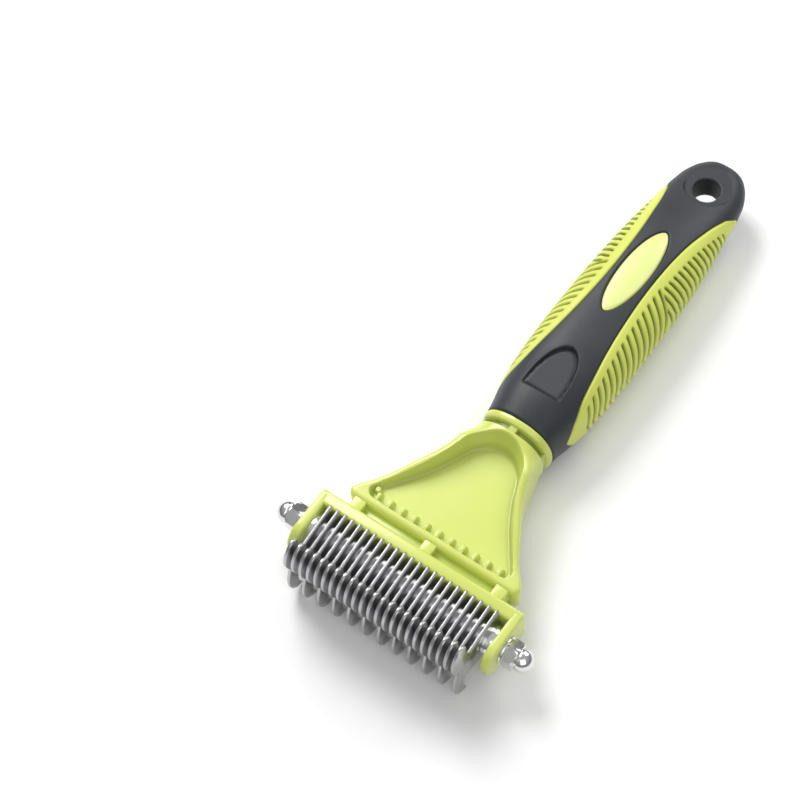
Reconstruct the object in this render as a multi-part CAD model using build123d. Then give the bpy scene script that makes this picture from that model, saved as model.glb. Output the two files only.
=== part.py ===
from build123d import *
import math
import os

# Double-sided undercoat rake (deshedding tool). All sizes are in millimetres.
# The model is drawn about the blade axle: X along the axle, Y from the head to
# the hanging hole, Z up. Each piece is moved to the part frame when it is written.

# ---- driving dimensions: blade row ----
BLADE_COUNT = 23
BLADE_T = 1.0
SPACER_T = 1.72
PITCH = BLADE_T + SPACER_T
ROW_HALF = (BLADE_COUNT - 1) * PITCH / 2 + BLADE_T / 2
SPACER_R = 4.6
END_SPACER_R = 5.2
BLADE_BACK = 5.8          # rear edge, just clear of the cross bar
BLADE_TOP_Z = 9.2         # height of the rear edge
BLADE_EYE_R = 2.6

# blade outline as (distance from the axle, height): each stretch starts where the last one ends
HEEL = (-4.4, -6.3)
WAIST = (-15.7, 2.6)
FINE_TIP = (-10.6, 14.0)
COARSE_TIP = (-11.7, -12.2)
FINE_INNER = [(-8.9, 6.8), (-9.9, 8.6), (-10.5, 11.2), FINE_TIP]
FINE_OUTER = [
    FINE_TIP, (-11.3, 15.3), (-12.5, 15.8), (-13.9, 15.5), (-15.3, 14.3), (-16.6, 12.2),
    (-17.3, 9.7), (-17.3, 7.2), (-16.7, 4.8), WAIST,
]
COARSE_OUTER = [
    WAIST, (-16.3, 0.6), (-16.9, -1.7), (-17.3, -4.2), (-17.2, -6.6), (-16.5, -8.9),
    (-15.1, -10.8), (-13.4, -11.9), COARSE_TIP,
]
COARSE_INNER = [
    COARSE_TIP, (-12.5, -10.3), (-13.0, -8.4), (-13.1, -6.4), (-12.6, -4.6), (-11.0, -3.5),
    (-8.9, -3.9), (-6.6, -5.1), HEEL,
]
SINGLE_UNDER = [WAIST, (-15.2, 0.9), (-14.2, -0.6), (-12.6, -1.7), (-9.8, -3.1), (-7.0, -4.8), HEEL]

# ---- driving dimensions: axle, washers and cap nuts (M5) ----
AXLE_R = 2.5
AXLE_HALF = 43.4
RUNNING_GAP = 0.05
WASHER_R = 4.7
WASHER_T = 0.8
NUT_FLATS = 8.0
NUT_HEX_T = 4.0
NUT_H = 8.8
NUT_DOME_R = 3.75
NUT_BORE_DEPTH = 6.4
NUT_CORNER_CONE = (2.55, 0.35)  # turns the corners of the hexagon off: radius over half the flats, each end
AXLE_CHAMFER = 0.5

# ---- driving dimensions: head frame ----
EAR_IN = 33.2
EAR_OUT = 36.4
EAR_HALF_H = 6.3
EAR_NOSE_Y = -2.9         # centre of the rounded nose
BAR_FRONT = 6.0
BAR_BACK = 10.5
WEB_FLOOR = 2.4           # half thickness of the recessed floor
RIM_TOP = 5.0             # half height of the raised rim
RIM_W = 3.6
RIM_STEP = 0.9            # shoulder along both edges of the rim
RIM_LOW_Y = 13.9
WEB_BASE_HALF = 30.8      # half width at the lower corners
WEB_CORNER = (2.6, 3.0)   # how far the corner curve runs across and up
WEB_TOP_Y = 53.0
WEB_NECK_HALF = 11.9
WEB_SIDE = [(29.1, 21.9), (19.9, 32.0), (14.4, 41.5)]
LINK_HALF_X = 28.0        # thin plate between the bar and the rim
LINK_HALF_T = 1.6
LINK_BLOCK_X = (-25.6, 0.0, 25.6)
LINK_BLOCK_HALF_W = 2.2
LINK_BLOCK_HALF_T = 4.4
BAR_FILLET = 0.9
EAR_FILLET = 0.6
GUSSET_COUNT = 11
GUSSET_PITCH = 4.6
GUSSET_HALF_W = 0.6
GUSSET_LENGTH = 1.9
GUSSET_RISE = 1.5
BOSS_AT = (-25.4, 20.4)
BOSS_R = 0.8
NECK_Y = 54.2
NECK_OVAL = (11.8, 10.8)  # half width and half thickness
SHOULDER = [(40.0, 13.0, 4.0), (47.0, 12.0, 7.4), (51.0, 11.8, 9.6), (NECK_Y, *NECK_OVAL)]
GROOVE_END_Y = 56.4
GROOVE_DEPTH = 1.5
COLLAR = [(GROOVE_END_Y, 11.9, 10.9), (57.8, 12.2, 11.2)]
NECK_RIBS = 8
NECK_RIB_W = 2.4
TANG = (7.0, 5.0, 84.0)   # half width, half thickness, end
SOCKET_GAP = 0.1
WELD = 0.5                # how far joined pieces of the head run into each other

# ---- driving dimensions: handle ----
CORE_WALL = 2.4
CORE_END_Y = 170.0
FACE_SPLIT_END = 160.5
HOLE_Y = 164.3
HOLE_R = 4.35
HOLE_LINING_R = 6.0
DISH_Y = 165.3
DISH_R = 8.2
DISH_Z = 5.0
ARCH_BASE_Y = 71.0
ARCH_TIP_Y = 88.5
ARCH_HALF = 6.5
ARCH_Z = 12.1
ARCH_SHOULDER = (0.6, 7.5)  # the side is this far in, this far above the base
BADGE_Y = 123.0
BADGE_HALF_L = 17.4
BADGE_HALF_W = 5.2
SECTION_POWER = 2.3       # superellipse exponent of the handle's section
SECTION_POINTS = 20
PANEL_START_DROP = 2.0    # the panel turns out to full width over this length
BEYOND = 20.0             # half width of cutting shapes, past every side of the handle
CUT_HEIGHT = 60.0
SIDE_GRIP_MIN_VOLUME = 500.0

# place of the axle in the part frame (origin: bottom centre of the bounding box)
AXLE_AT = (0.0, -79.52, 13.13)

# handle stations: (distance from the axle, half width, half thickness)
STATIONS = [
    (57.8, 12.0, 11.0), (62.0, 12.5, 11.8), (68.0, 13.8, 12.8), (76.0, 15.2, 13.2),
    (88.0, 16.1, 13.1), (104.0, 16.4, 12.5), (120.0, 16.1, 11.9), (134.0, 15.4, 11.3),
    (146.0, 14.4, 9.9), (156.0, 13.3, 7.7), (164.0, 12.4, 6.3), (170.0, 10.8, 5.4),
    (174.0, 8.4, 4.6), (176.8, 5.2, 3.4),
]

# half width of the grey face panel in plan, along the handle
FACE_EDGE = [
    (66.5, 13.3), (70.0, 13.3), (77.0, 11.7), (85.0, 10.4), (92.0, 9.3), (100.0, 8.3),
    (108.0, 7.6), (116.0, 7.15), (124.0, 7.05), (132.0, 7.3), (140.0, 7.9), (147.0, 8.9),
    (153.0, 10.2), (158.0, 11.9),
]


def save(shape, name):
    """Move a piece from the axle frame to the part frame and write it."""
    placed = Pos(*AXLE_AT) * shape
    placed.label = name
    export_step(placed, os.path.join("parts", name + ".step"))


def bar_x(radius, x0, x1):
    """Round bar along X from x0 to x1, centred on the axle line."""
    return Pos((x0 + x1) / 2, 0, 0) * Rot(0, 90, 0) * Cylinder(radius, x1 - x0)


def block(x0, x1, y0, y1, z0, z1):
    """Plain block between two corners."""
    return Pos((x0 + x1) / 2, (y0 + y1) / 2, (z0 + z1) / 2) * Box(x1 - x0, y1 - y0, z1 - z0)


def closed_face(curves):
    """Flat face bounded by curves that follow each other."""
    edges = []
    for curve in curves:
        edges += curve.edges()
    return make_face(edges)


# ---- handle body ----

def oval(y, half_w, half_t):
    """One superellipse section of the handle, in the plane across Y."""
    points = []
    for i in range(SECTION_POINTS):
        a = 2 * math.pi * (i + 0.5) / SECTION_POINTS
        c = math.cos(a)
        s = math.sin(a)
        x = half_w * math.copysign(abs(c) ** (2 / SECTION_POWER), c)
        z = half_t * math.copysign(abs(s) ** (2 / SECTION_POWER), s)
        points.append((x, y, z))
    return make_face(Spline(*points, periodic=True))


def handle_loft(inset, last):
    """Handle body lofted through the stations up to last, drawn in by inset on every side."""
    rows = [s for s in STATIONS if s[0] <= last]
    return loft([oval(y, w - inset, t - inset) for y, w, t in rows])


def face_prism():
    """Upright prism over the grey face panel: waisted in the middle, full width at both ends."""
    right = [(x, y) for y, x in FACE_EDGE]
    left = [(-x, y) for x, y in reversed(right)]
    start = FACE_EDGE[0][0] - PANEL_START_DROP
    before, after = start - BEYOND, FACE_SPLIT_END + BEYOND
    outline = closed_face([
        Spline(*right),
        Polyline(right[-1], (BEYOND, FACE_SPLIT_END), (BEYOND, after), (-BEYOND, after),
                 (-BEYOND, FACE_SPLIT_END), left[0]),
        Spline(*left),
        Polyline(left[-1], (-BEYOND, start), (-BEYOND, before), (BEYOND, before), (BEYOND, start),
                 right[0]),
    ])
    return extrude(Pos(0, 0, -CUT_HEIGHT / 2) * outline, CUT_HEIGHT)


def arch_prism():
    """Upright prism of the arched thumb recess: straight base, pointed arch."""
    base_left, base_right = (-ARCH_HALF, ARCH_BASE_Y), (ARCH_HALF, ARCH_BASE_Y)
    side_x, side_y = ARCH_HALF - ARCH_SHOULDER[0], ARCH_BASE_Y + ARCH_SHOULDER[1]
    tip = (0, ARCH_TIP_Y)
    outline = closed_face([
        Line(base_left, base_right),
        Spline(base_right, (side_x, side_y), tip, tangents=[(0.05, 1), (-1, 0)]),
        Spline(tip, (-side_x, side_y), base_left, tangents=[(-1, 0), (0.05, -1)]),
    ])
    return extrude(Pos(0, 0, ARCH_Z) * outline, BEYOND)


def badge_prism():
    """Upright prism of the oval badge."""
    return extrude(Pos(0, BADGE_Y, 0) * Ellipse(BADGE_HALF_W, BADGE_HALF_L), BEYOND)


def build_handle():
    """Core, grey cover, two side grips and two badges."""
    skin = handle_loft(0.0, STATIONS[-1][0])
    core = handle_loft(CORE_WALL, CORE_END_Y)
    shell = skin - core
    prism = face_prism()
    hole = Pos(0, HOLE_Y, 0) * Cylinder(HOLE_R, CUT_HEIGHT)
    lining = Pos(0, HOLE_Y, 0) * Cylinder(HOLE_LINING_R, CUT_HEIGHT)
    dish = Pos(0, DISH_Y, DISH_Z + BEYOND / 2) * Cylinder(DISH_R, BEYOND)
    flip = Rot(0, 180, 0)

    cover = (shell & prism) + (skin & lining)
    cover -= hole
    for cut in (dish, arch_prism(), badge_prism()):
        cover -= cut
        cover -= flip * cut
    save(cover, "grip_cover")

    sides = shell - prism
    for solid in sides.solids():
        if solid.volume > SIDE_GRIP_MIN_VOLUME:
            side = "right" if solid.center().X > 0 else "left"
            save(solid, "side_grip_" + side)

    save(shell & badge_prism(), "badge_front")
    save(shell & (flip * badge_prism()), "badge_back")

    ring = loft([oval(*section) for section in COLLAR])
    half_w, half_t, end = TANG
    socket = block(-half_w - SOCKET_GAP, half_w + SOCKET_GAP, NECK_Y, end + SOCKET_GAP,
                   -half_t - SOCKET_GAP, half_t + SOCKET_GAP)
    save(core + ring - socket - lining, "handle_core")


# ---- head frame ----

def web_outline(inset):
    """Plan face of the flared web: straight base, concave sides up to the neck."""
    across, up = WEB_CORNER
    base = WEB_BASE_HALF - inset
    low = RIM_LOW_Y + inset
    top = WEB_TOP_Y - inset
    neck = (WEB_NECK_HALF - inset, top - up)
    waist = [(x - inset, y + (inset if y < RIM_LOW_Y + 10 else 0.0)) for x, y in WEB_SIDE]
    side = [(base, low + up), *waist, neck]
    mirror = [(-x, y) for x, y in reversed(side)]
    edges = [
        Line((across - base, low), (base - across, low)),
        Spline((base - across, low), side[0], tangents=[(1, 0), (0, 1)]),
        Spline(*side, tangents=[(0, 1), (-0.12, 1)]),
        Spline(neck, (0, top), mirror[0], tangents=[(-0.2, 1), (-0.2, -1)]),
        Spline(*mirror, tangents=[(-0.12, -1), (0, -1)]),
        Spline(mirror[-1], (across - base, low), tangents=[(0, -1), (1, 0)]),
    ]
    return closed_face(edges)


def build_web():
    """Web with its raised rim, and the shoulder that swells from it into the neck."""
    outer = web_outline(0.0)
    inner = web_outline(RIM_W)
    web = extrude(Pos(0, 0, -WEB_FLOOR) * outer, 2 * WEB_FLOOR)
    low_half = RIM_TOP - RIM_STEP
    rim = extrude(Pos(0, 0, -low_half) * (outer - inner), 2 * low_half)
    crest = web_outline(RIM_STEP) - web_outline(RIM_W - RIM_STEP)
    rim += extrude(Pos(0, 0, -RIM_TOP) * crest, 2 * RIM_TOP)

    shoulder = loft([oval(*section) for section in SHOULDER])
    hollow = extrude(Pos(0, 0, WEB_FLOOR) * inner, BEYOND)
    shoulder = shoulder - hollow - Rot(0, 180, 0) * hollow
    groove = loft([oval(y, w - GROOVE_DEPTH, t - GROOVE_DEPTH) for y, w, t in (SHOULDER[-1], COLLAR[0])])
    return web + rim + shoulder + groove


def build_yoke():
    """Cross bar with its two ears, and the slotted link between the bar and the web."""
    yoke = fillet(block(-EAR_OUT, EAR_OUT, BAR_FRONT, BAR_BACK, -EAR_HALF_H, EAR_HALF_H)
                  .edges().filter_by(Axis.X), BAR_FILLET)
    y0, y1 = BAR_BACK - WELD, RIM_LOW_Y + 2 * WELD
    yoke += block(-LINK_HALF_X, LINK_HALF_X, y0, y1, -LINK_HALF_T, LINK_HALF_T)
    for x in LINK_BLOCK_X:
        yoke += block(x - LINK_BLOCK_HALF_W, x + LINK_BLOCK_HALF_W, y0, y1,
                      -LINK_BLOCK_HALF_T, LINK_BLOCK_HALF_T)
    width = EAR_OUT - EAR_IN
    for side in (-1, 1):
        middle = side * (EAR_IN + EAR_OUT) / 2
        nose = Pos(middle, EAR_NOSE_Y, 0) * Rot(0, 90, 0) * Cylinder(EAR_HALF_H, width)
        arm = block(middle - width / 2, middle + width / 2, EAR_NOSE_Y, BAR_BACK,
                    -EAR_HALF_H, EAR_HALF_H)
        ear = nose + arm
        yoke += fillet(ear.edges().filter_by(GeomType.CIRCLE), EAR_FILLET)
    return yoke


def floor_details():
    """Small gussets along the lower rim and a boss in one corner, on both faces of the web."""
    details = []
    y0 = RIM_LOW_Y + RIM_W - GUSSET_HALF_W
    height = GUSSET_RISE + WELD
    for face in (-1, 1):
        middle = face * (WEB_FLOOR - WELD + height / 2)
        for i in range(GUSSET_COUNT):
            x = (i - (GUSSET_COUNT - 1) / 2) * GUSSET_PITCH
            details.append(block(x - GUSSET_HALF_W, x + GUSSET_HALF_W, y0, y0 + GUSSET_LENGTH,
                                 middle - height / 2, middle + height / 2))
        details.append(Pos(*BOSS_AT, middle) * Cylinder(BOSS_R, height))
    return details


def neck_ribs():
    """Ribs that cross the neck groove, evenly spaced round it."""
    ribs = []
    length = GROOVE_END_Y - NECK_Y
    half_w, half_t = NECK_OVAL
    for i in range(NECK_RIBS):
        turn = 2 * math.pi * (i + 0.5) / NECK_RIBS
        x = (half_w - NECK_RIB_W / 2) * math.cos(turn)
        z = (half_t - NECK_RIB_W / 2) * math.sin(turn)
        ribs.append(Pos(x, NECK_Y + length / 2, z) * Rot(0, -math.degrees(turn), 0)
                    * Box(NECK_RIB_W, length, NECK_RIB_W))
    return ribs


def build_head():
    """Cross bar, ears, web with its raised rim, neck and tang, in one moulding."""
    head = build_web() + build_yoke()
    for detail in floor_details() + neck_ribs():
        head += detail
    half_w, half_t, end = TANG
    head += block(-half_w, half_w, GROOVE_END_Y - 2 * WELD, end, -half_t, half_t)
    head -= bar_x(BLADE_EYE_R, -EAR_OUT - 1, EAR_OUT + 1)
    save(head, "head_frame")


# ---- blades ----

def side_points(pairs):
    """(y, z) pairs as points of the YZ plane."""
    return [(0, y, z) for y, z in pairs]


def blade_face(double):
    """Side outline of one blade in the YZ plane: fine claw up, coarse claw down if double."""
    top_back, bottom_back = side_points([(BLADE_BACK, BLADE_TOP_Z), (BLADE_BACK, HEEL[1])])
    heel = side_points([HEEL])[0]
    inner = side_points(FINE_INNER)
    edges = [Line(top_back, inner[0]), Spline(*inner), Spline(*side_points(FINE_OUTER))]
    for stretch in (COARSE_OUTER, COARSE_INNER) if double else (SINGLE_UNDER,):
        edges.append(Spline(*side_points(stretch)))
    edges.append(Polyline(heel, bottom_back, top_back))
    return closed_face(edges)


def build_blades():
    """The row of blades: every other one is double-ended, with spacer rings between."""
    outlines = {True: blade_face(True), False: blade_face(False)}
    for i in range(BLADE_COUNT):
        x = (i - (BLADE_COUNT - 1) / 2) * PITCH
        face = outlines[i % 2 == 0]
        blade = extrude(Pos(x - BLADE_T / 2, 0, 0) * face, BLADE_T, dir=(1, 0, 0))
        blade -= bar_x(BLADE_EYE_R, x - PITCH, x + PITCH)
        save(blade, f"blade_{i + 1:02d}")
    for i in range(BLADE_COUNT - 1):
        x0 = (i - (BLADE_COUNT - 1) / 2) * PITCH + BLADE_T / 2
        ring = bar_x(SPACER_R, x0, x0 + SPACER_T) - bar_x(BLADE_EYE_R, x0 - PITCH, x0 + PITCH)
        save(ring, f"spacer_{i + 1:02d}")


# ---- axle and its fastenings ----

def cap_nut():
    """Cap nut on its own axis: seat at x = 0, dome towards +X, blind bore for the axle's thread."""
    hexagon = extrude(RegularPolygon(NUT_FLATS / 2, 6, major_radius=False), NUT_HEX_T)
    wide, narrow = NUT_CORNER_CONE
    cone = Pos(0, 0, NUT_HEX_T / 2) * Cone(NUT_FLATS / 2 + wide, NUT_FLATS / 2 + narrow, NUT_HEX_T)
    straight = NUT_H - NUT_DOME_R
    dome = Pos(0, 0, straight / 2) * Cylinder(NUT_DOME_R, straight) + Pos(0, 0, straight) * Sphere(NUT_DOME_R)
    dome -= Pos(0, 0, -NUT_H) * Box(2 * NUT_H, 2 * NUT_H, 2 * NUT_H)
    bore = Cylinder(AXLE_R + RUNNING_GAP, 2 * NUT_BORE_DEPTH)
    return Rot(0, 90, 0) * ((hexagon & cone) + dome - bore)


def build_axle():
    """Threaded axle, end spacers, washers and cap nuts."""
    axle = bar_x(AXLE_R, -AXLE_HALF, AXLE_HALF)
    save(chamfer(axle.edges().filter_by(GeomType.CIRCLE), AXLE_CHAMFER), "axle")
    seat = EAR_OUT + WASHER_T
    pieces = {
        "washer": bar_x(WASHER_R, EAR_OUT, seat) - bar_x(AXLE_R + RUNNING_GAP, 0, AXLE_HALF),
        "end_spacer": bar_x(END_SPACER_R, ROW_HALF, EAR_IN) - bar_x(BLADE_EYE_R, 0, AXLE_HALF),
        "cap_nut": Pos(seat, 0, 0) * cap_nut(),
    }
    for name, piece in pieces.items():
        save(piece, name + "_right")
        save(Rot(0, 0, 180) * piece, name + "_left")


os.makedirs("parts", exist_ok=True)
build_head()
build_handle()
build_blades()
build_axle()
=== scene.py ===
import math

import bmesh
import bpy
import numpy as np
from mathutils import Matrix, Vector


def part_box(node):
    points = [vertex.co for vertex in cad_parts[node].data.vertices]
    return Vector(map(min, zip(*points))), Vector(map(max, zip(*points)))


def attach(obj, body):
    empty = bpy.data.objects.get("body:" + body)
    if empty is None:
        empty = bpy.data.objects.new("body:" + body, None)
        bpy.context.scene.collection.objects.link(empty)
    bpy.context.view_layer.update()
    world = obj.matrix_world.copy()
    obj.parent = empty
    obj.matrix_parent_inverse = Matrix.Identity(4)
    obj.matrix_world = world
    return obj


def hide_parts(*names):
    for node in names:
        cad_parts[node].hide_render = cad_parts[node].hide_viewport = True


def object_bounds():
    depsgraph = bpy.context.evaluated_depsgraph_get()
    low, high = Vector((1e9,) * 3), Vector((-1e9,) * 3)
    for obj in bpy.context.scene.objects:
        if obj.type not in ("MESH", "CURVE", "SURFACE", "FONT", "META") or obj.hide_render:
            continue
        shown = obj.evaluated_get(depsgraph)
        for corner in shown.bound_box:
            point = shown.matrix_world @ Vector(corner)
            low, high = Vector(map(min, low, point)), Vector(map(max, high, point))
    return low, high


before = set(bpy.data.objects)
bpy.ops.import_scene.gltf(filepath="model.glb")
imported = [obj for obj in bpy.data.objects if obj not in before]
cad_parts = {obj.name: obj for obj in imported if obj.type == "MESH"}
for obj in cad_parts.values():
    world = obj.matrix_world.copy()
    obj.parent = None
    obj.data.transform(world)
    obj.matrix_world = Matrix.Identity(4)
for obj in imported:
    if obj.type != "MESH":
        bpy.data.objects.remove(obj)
cad_low, cad_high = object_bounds()

# ---- head moulding ----
# One lime ABS moulding: a cross bar with two ears that carry the blade axle, a flared
# web with a beaded rim round a sunk floor on both faces, and a neck with a ribbed
# groove that runs into the handle. Glossy, straight from a polished mould.

MM = 0.001
MERGE_DISTANCE = 0.002 * MM
axle_low, axle_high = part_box("axle")
AXLE = np.array([(axle_low[i] + axle_high[i]) / 2 for i in range(3)])

EAR_IN = 33.2
EAR_OUT = 36.4
EAR_HALF_H = 6.3
EAR_NOSE_Y = -2.9
BAR_FRONT = 6.0
BAR_BACK = 10.5
FLOOR_Z = 2.4
RIM_ROUND = 1.5
WEB_LOW_Y = 13.9
NECK_Y = 55.4
SECTION_POWER = 2.3

WEB_SIDE_Y = [15.2, 16.9, 19.0, 21.7, 24.8, 29.7, 34.7, 39.7, 44.2, 48.0, 52.0, 55.6]
WEB_SIDE_X = [30.8, 30.3, 28.8, 26.5, 24.2, 21.1, 18.2, 15.5, 13.8, 12.8, 12.1, 11.8]
WEB_CORNER = (2.6, 3.0)
HOLLOW = [(0, 16.9), (20.5, 16.9), (24.3, 17.3), (25.2, 18.8), (23.9, 21.2), (20.7, 25.6),
          (15.4, 33.2), (11.5, 40.6), (9.8, 44.8), (8.1, 47.9), (5.8, 50.3), (3.0, 51.9), (0, 52.4)]
RIM_Y = [13.0, 17.5, 22.0, 27.0, 32.0, 38.0, 43.0, 47.0, 51.0, 55.4]
RIM_Z = [5.0, 5.0, 5.3, 6.2, 7.4, 8.6, 9.3, 9.8, 10.3, 10.85]


def smooth(at, xs, ys):
    """Cubic through the points (xs, ys), read at `at`; each point's slope follows its neighbours."""
    xs, ys = np.array(xs, float), np.array(ys, float)
    slope = np.gradient(ys, xs)
    i = np.clip(np.searchsorted(xs, at) - 1, 0, len(xs) - 2)
    step = xs[i + 1] - xs[i]
    u = np.clip((at - xs[i]) / step, 0, 1)
    return ((2 * u**3 - 3 * u**2 + 1) * ys[i] + (u**3 - 2 * u**2 + u) * step * slope[i]
            + (3 * u**2 - 2 * u**3) * ys[i + 1] + (u**3 - u**2) * step * slope[i + 1])


def ease(value, low, high):
    """Smooth step: 0 up to low, 1 from high on, with no corner at either end."""
    u = np.clip((value - low) / (high - low), 0, 1)
    return u * u * (3 - 2 * u)


def soft_min(a, b, blend):
    """The lower of a and b, with the corner between them rounded over about blend."""
    share = np.clip(0.5 + 0.5 * (b - a) / blend, 0, 1)
    return b * (1 - share) + a * share - blend * share * (1 - share)


def curve_through(points, count):
    """count points spread evenly by length along a smooth open curve through the given plan points."""
    points = np.array(points, float)
    run = np.concatenate([[0], np.cumsum(np.linalg.norm(np.diff(points, axis=0), axis=1))])
    at = np.linspace(0, run[-1], count)
    return np.stack([smooth(at, run, points[:, 0]), smooth(at, run, points[:, 1])], -1)


def inside_by(x, y, outline):
    """How far each point (x, y) lies inside a closed outline, negative outside it: the distance to
    the nearest edge, with its sign from how often a line going right crosses the outline."""
    shape = np.shape(x)
    p = np.stack([np.ravel(x), np.ravel(y)], -1)[:, None, :]
    a = outline[None, :, :]
    b = np.roll(outline, -1, axis=0)[None, :, :]
    edge = b - a
    along = np.clip(((p - a) * edge).sum(-1) / np.maximum((edge**2).sum(-1), 1e-12), 0, 1)
    away = np.sqrt((((p - a) - along[..., None] * edge) ** 2).sum(-1)).min(1)
    spans = (a[..., 1] > p[..., 1]) != (b[..., 1] > p[..., 1])
    rise = np.where(edge[..., 1] == 0, 1e-12, edge[..., 1])
    meets = a[..., 0] + (p[..., 1] - a[..., 1]) * edge[..., 0] / rise
    crossings = (spans & (meets > p[..., 0])).sum(1)
    return np.where(crossings % 2 == 1, away, -away).reshape(shape)


def grid_faces(rows, cols, wrap=False):
    """Corner numbers of a rows by cols grid of quads; wrap joins the last column to the first."""
    row = np.arange(rows - 1)[:, None] * cols
    col = np.arange(cols if wrap else cols - 1)[None, :]
    after = (col + 1) % cols
    quads = np.stack([row + col, row + after, row + cols + after, row + cols + col], -1)
    return quads.reshape(-1, 4).tolist()


def make_piece(name, parts, material, body, nodes, sharp=40):
    """One object from parts, each (points from the axle in mm, faces, painted shade 0 to 1): merges
    points that meet, turns the faces outwards, shades smooth but for edges sharper than `sharp`
    degrees, stores the painted shade on the mesh, and ties the object to the frame."""
    points = np.concatenate([p.reshape(-1, 3) for p, _, _ in parts])
    painted_shade = np.concatenate([np.broadcast_to(g, p.shape[:-1]).ravel() for p, _, g in parts])
    faces, first = [], 0
    for p, f, _ in parts:
        faces += [[corner + first for corner in face] for face in f]
        first += p.size // 3
    mesh = bpy.data.meshes.new(name)
    mesh.from_pydata((points * MM + AXLE).tolist(), [], faces)
    # painted shade for recesses, grooves and the hole bore, kept on the mesh for the materials to darken the
    # colour
    mesh.attributes.new("painted_shade", "FLOAT", "POINT").data.foreach_set("value", painted_shade.astype(np.float32))
    shell = bmesh.new()
    shell.from_mesh(mesh)
    bmesh.ops.remove_doubles(shell, verts=shell.verts, dist=MERGE_DISTANCE)
    bmesh.ops.recalc_face_normals(shell, faces=shell.faces)
    shell.to_mesh(mesh)
    shell.free()
    mesh.shade_smooth()
    mesh.set_sharp_from_angle(angle=math.radians(sharp))
    mesh.materials.append(material)
    piece = bpy.data.objects.new(name, mesh)
    bpy.context.scene.collection.objects.link(piece)
    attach(piece, body)
    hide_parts(*nodes)
    return piece


class Socket:
    """A shader value that Python arithmetic works on: each operator adds one Math node."""

    def __init__(self, shader, link):
        """Wraps the output `link` of a node in the tree that `shader` fills in."""
        self.shader = shader
        self.link = link

    def maths(self, operation, a, b):
        """One Math node over a and b, each a number or another socket."""
        return self.shader.node("ShaderNodeMath", {"operation": operation}, {0: a, 1: b})

    def __add__(self, other):
        return self.maths("ADD", self, other)

    def __radd__(self, other):
        return self.maths("ADD", other, self)

    def __sub__(self, other):
        return self.maths("SUBTRACT", self, other)

    def __rsub__(self, other):
        return self.maths("SUBTRACT", other, self)

    def __mul__(self, other):
        return self.maths("MULTIPLY", self, other)

    def __rmul__(self, other):
        return self.maths("MULTIPLY", other, self)


class Nodes:
    """A node tree being filled in."""

    def __init__(self, tree):
        """Keeps the tree that every node goes into."""
        self.tree = tree

    def node(self, kind, settings, inputs, out=0):
        """Adds a node, sets it up, fills its sockets with values or links, and returns one output."""
        made = self.tree.nodes.new(kind)
        for key, value in settings.items():
            if key == "stops":
                for element, (position, colour) in zip(made.color_ramp.elements, value):
                    element.position = position
                    element.color = colour
            else:
                setattr(made, key, value)
        for key, value in inputs.items():
            self.fill(made.inputs[key], value)
        return Socket(self, made.outputs[out])

    def fill(self, socket, value):
        """Links a Socket into a node's socket, or sets the socket to a plain value."""
        if isinstance(value, Socket):
            self.tree.links.new(value.link, socket)
        else:
            socket.default_value = value


class Finish(Nodes):
    """A Principled material; constants go straight onto the shader's sockets."""

    def __init__(self, name, constants):
        """Makes the material and sets the sockets that stay the same all over it."""
        self.material = bpy.data.materials.new(name)
        self.material.use_nodes = True
        super().__init__(self.material.node_tree)
        self.shader = next(n for n in self.tree.nodes if n.type == "BSDF_PRINCIPLED")
        for socket, value in constants.items():
            self.shader.inputs[socket].default_value = value

    def feed(self, sockets):
        """Links what varies over the surface into the shader."""
        for socket, value in sockets.items():
            self.fill(self.shader.inputs[socket], value)

    def place(self, stretch=(1, 1, 1)):
        """Place on the object in metres, stretched along its axes."""
        spot = self.node("ShaderNodeTexCoord", {}, {}, "Object")
        return self.node("ShaderNodeVectorMath", {"operation": "MULTIPLY"}, {0: spot, 1: stretch})

    def noise(self, spot, scale, detail=2.0, roughness=0.5):
        """Cloudy noise from 0 to 1 read at spot, with `scale` features to the metre."""
        inputs = {"Vector": spot, "Scale": scale, "Detail": detail, "Roughness": roughness}
        return self.node("ShaderNodeTexNoise", {}, inputs, "Fac")

    def between(self, value, low, high):
        """0 below low, 1 above high, straight between."""
        inputs = {"Value": value, "From Min": low, "From Max": high}
        return self.node("ShaderNodeMapRange", {}, inputs, 0)

    def mix(self, share, a, b):
        """Colour a turning into colour b as share goes from 0 to 1."""
        return self.node("ShaderNodeMix", {"data_type": "RGBA"}, {0: share, 6: a, 7: b}, 2)

    def bump(self, height, distance):
        """Normal tilted as if a height of 1 stood `distance` metres proud."""
        return self.node("ShaderNodeBump", {}, {"Height": height, "Distance": distance})

    def painted_shade(self):
        """Painted shade, 0 to 1, that make_piece stored on the mesh; it darkens the colour and roughens the
        gloss.
        """
        return self.node("ShaderNodeAttribute", {"attribute_name": "painted_shade"}, {}, "Fac")


def moulded_lime(name, light, deep, painted_shade_colour, roughness, grain, gloss):
    """Glossy pigmented plastic: faint flow clouds in the colour, painted shade that darkens it in
    recesses and grooves, a fine orange-peel in the gloss, and sparse hair scratches mostly along the tool."""
    finish = Finish(name, {"IOR": 1.5, "Coat Roughness": 0.12, "Subsurface Weight": 0.08,
                           "Subsurface Scale": 0.002})
    spot = finish.place()
    cloud = finish.between(finish.noise(spot, 55, 3), 0.35, 0.68)
    body = finish.mix(cloud * 0.35, light, deep)
    # painted shade: the colour turns towards the dark painted shade colour in recesses and grooves
    colour = finish.mix(finish.painted_shade() * 0.9, body, painted_shade_colour)
    peel = finish.noise(spot, 900, 2)
    fine = finish.noise(spot, 4200, 3, 0.6)
    hair = finish.between(finish.noise(finish.place((1, 0.06, 1)), 2600, 1), 0.72, 0.80)
    level = roughness + finish.noise(spot, 140, 4) * 0.10 + hair * 0.14 + finish.painted_shade() * 0.12
    height = peel * 0.6 + fine * 0.4 - hair * 0.5
    finish.feed({"Base Color": colour, "Roughness": level, "Normal": finish.bump(height, grain),
                 "Coat Weight": gloss - hair * gloss})
    return finish.material


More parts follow.
